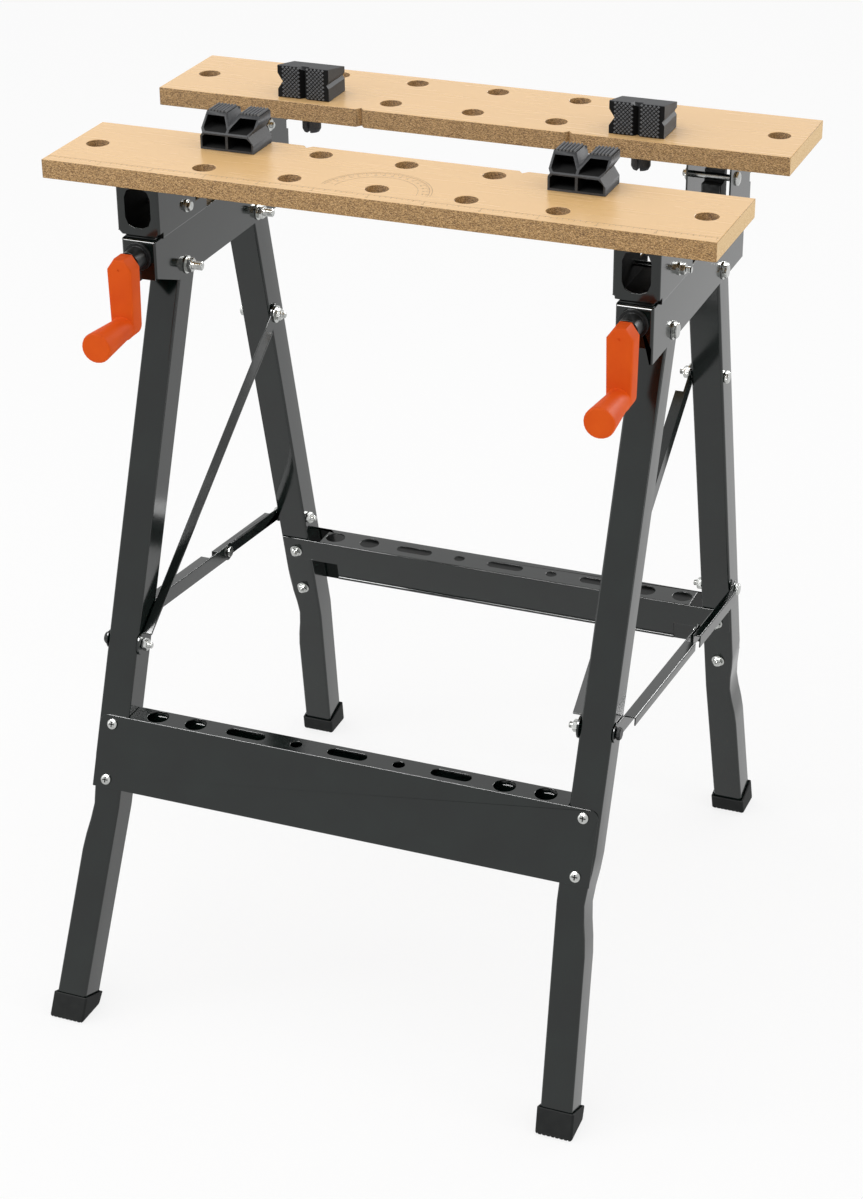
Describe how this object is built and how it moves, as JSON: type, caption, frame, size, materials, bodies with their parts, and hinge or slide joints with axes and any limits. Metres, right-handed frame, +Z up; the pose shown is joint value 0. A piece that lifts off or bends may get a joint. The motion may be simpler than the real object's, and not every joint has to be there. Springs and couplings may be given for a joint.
{
  "type": "folding workbench",
  "caption": "Folding clamping workbench: wood boards cranked together as a vise on steel rails, bench dogs, splayed tube legs with tool trays, fold linkage.",
  "frame": {"origin": "on the floor, under the middle of the feet", "axes": "+Z up, X along the boards, -Y to the front where the cranks are"},
  "size_m": [0.605, 0.608, 0.7999],
  "materials": {
    "board": "sealed composite board",
    "frame": "gloss black enamel on steel",
    "zinc": "bright zinc plate",
    "rubber": "matt black rubber",
    "crank": "moulded orange plastic",
    "dog": "moulded dark grey plastic",
    "nut": "blackened steel"
  },
  "bodies": {
    "head": {"rail_left": "frame", "rail_right": "frame", "front_board": "board", "front_bracket_left": "frame", "front_bracket_right": "frame", "spindle_bush_left": "nut", "spindle_bush_right": "nut", "front_pivot_bolt_left": "zinc", "front_pivot_bolt_right": "zinc", "rear_pivot_bolt_left": "zinc", "rear_pivot_bolt_right": "zinc"},
    "rear_jaw": {"rear_board": "board", "rear_bracket_left": "frame", "rear_bracket_right": "frame", "jaw_pin_left": "zinc", "jaw_pin_right": "zinc", "jaw_nut_left": "nut", "jaw_nut_right": "nut"},
    "crank_left": {"crank_left": "crank", "spindle_left": "zinc"},
    "crank_right": {"crank_right": "crank", "spindle_right": "zinc"},
    "front_legs": {"front_tray": "frame", "front_leg_left": "frame", "front_boot_left": "rubber", "front_tray_bolt_upper_left": "zinc", "front_tray_bolt_lower_left": "zinc", "stay_bolt_front_left": "zinc", "front_leg_right": "frame", "front_boot_right": "rubber", "front_tray_bolt_upper_right": "zinc", "front_tray_bolt_lower_right": "zinc", "stay_bolt_front_right": "zinc"},
    "rear_legs": {"rear_tray": "frame", "rear_leg_left": "frame", "rear_boot_left": "rubber", "rear_tray_bolt_upper_left": "zinc", "rear_tray_bolt_lower_left": "zinc", "brace_bolt_left": "zinc", "stay_bolt_rear_left": "zinc", "rear_leg_right": "frame", "rear_boot_right": "rubber", "rear_tray_bolt_upper_right": "zinc", "rear_tray_bolt_lower_right": "zinc", "brace_bolt_right": "zinc", "stay_bolt_rear_right": "zinc"},
    "brace_left": {"brace_left": "frame"},
    "stay_front_left": {"stay_front_left": "frame", "elbow_rivet_left": "zinc"},
    "stay_rear_left": {"stay_rear_left": "frame"},
    "front_dog_left": {"front_dog_left": "dog"},
    "rear_dog_left": {"rear_dog_left": "dog"},
    "brace_right": {"brace_right": "frame"},
    "stay_front_right": {"stay_front_right": "frame", "elbow_rivet_right": "zinc"},
    "stay_rear_right": {"stay_rear_right": "frame"},
    "front_dog_right": {"front_dog_right": "dog"},
    "rear_dog_right": {"rear_dog_right": "dog"}
  },
  "joints": [
    {"name": "front_fold", "type": "hinge", "parent": "head", "child": "front_legs", "pos_m": [0, -0.03354, 0.656], "axis": [-1, 0, 0], "range_deg": [0, 30]},
    {"name": "rear_fold", "type": "hinge", "parent": "head", "child": "rear_legs", "pos_m": [0, 0.11876, 0.656], "axis": [-1, 0, 0], "range_deg": [0, 52]},
    {"name": "brace_fold_left", "type": "hinge", "parent": "front_legs", "child": "brace_left", "pos_m": [-0.2122, -0.1615, 0.33281], "axis": [-1, 0, 0], "range_deg": [-14.8, 0]},
    {"name": "stay_front_fold_left", "type": "hinge", "parent": "front_legs", "child": "stay_front_left", "pos_m": [-0.2428, -0.1615, 0.33281], "axis": [-1, 0, 0], "range_deg": [-44, 0]},
    {"name": "stay_rear_fold_left", "type": "hinge", "parent": "rear_legs", "child": "stay_rear_left", "pos_m": [-0.2443, 0.21222, 0.29201], "axis": [-1, 0, 0], "range_deg": [0, 55.7]},
    {"name": "brace_fold_right", "type": "hinge", "parent": "front_legs", "child": "brace_right", "pos_m": [0.2122, -0.1615, 0.33281], "axis": [-1, 0, 0], "range_deg": [-14.8, 0]},
    {"name": "stay_front_fold_right", "type": "hinge", "parent": "front_legs", "child": "stay_front_right", "pos_m": [0.2428, -0.1615, 0.33281], "axis": [-1, 0, 0], "range_deg": [-44, 0]},
    {"name": "stay_rear_fold_right", "type": "hinge", "parent": "rear_legs", "child": "stay_rear_right", "pos_m": [0.2443, 0.21222, 0.29201], "axis": [-1, 0, 0], "range_deg": [0, 55.7]},
    {"name": "crank_turn_left", "type": "hinge", "parent": "head", "child": "crank_left", "pos_m": [-0.2277, -0.12239, 0.682], "axis": [0, 1, 0], "range_deg": [0, 9900]},
    {"name": "crank_turn_right", "type": "hinge", "parent": "head", "child": "crank_right", "pos_m": [0.2277, -0.12239, 0.682], "axis": [0, 1, 0], "range_deg": [0, 9905]},
    {"name": "jaw_slide", "type": "slide", "parent": "head", "child": "rear_jaw", "axis": [0, -1, 0], "range_m": [0, 0.1105]},
    {"name": "front_dog_lift_left", "type": "slide", "parent": "head", "child": "front_dog_left", "axis": [0, 0, 1], "range_m": [0, 0.04]},
    {"name": "front_dog_lift_right", "type": "slide", "parent": "head", "child": "front_dog_right", "axis": [0, 0, 1], "range_m": [0, 0.04]},
    {"name": "rear_dog_lift_left", "type": "slide", "parent": "rear_jaw", "child": "rear_dog_left", "axis": [0, 0, 1], "range_m": [0, 0.04]},
    {"name": "rear_dog_lift_right", "type": "slide", "parent": "rear_jaw", "child": "rear_dog_right", "axis": [0, 0, 1], "range_m": [0, 0.04]}
  ],
  "couplings": [
    {"joint": "rear_fold", "follows": "front_fold", "ratio": 1.728},
    {"joint": "brace_fold_left", "follows": "front_fold", "ratio": -0.488},
    {"joint": "stay_front_fold_left", "follows": "front_fold", "ratio": -1.462},
    {"joint": "stay_rear_fold_left", "follows": "front_fold", "ratio": 1.851},
    {"joint": "brace_fold_right", "follows": "front_fold", "ratio": -0.488},
    {"joint": "stay_front_fold_right", "follows": "front_fold", "ratio": -1.462},
    {"joint": "stay_rear_fold_right", "follows": "front_fold", "ratio": 1.851},
    {"joint": "crank_turn_right", "follows": "crank_turn_left", "ratio": 1},
    {"joint": "jaw_slide", "follows": "crank_turn_left", "m_per_rad": 0.00063662}
  ]
}
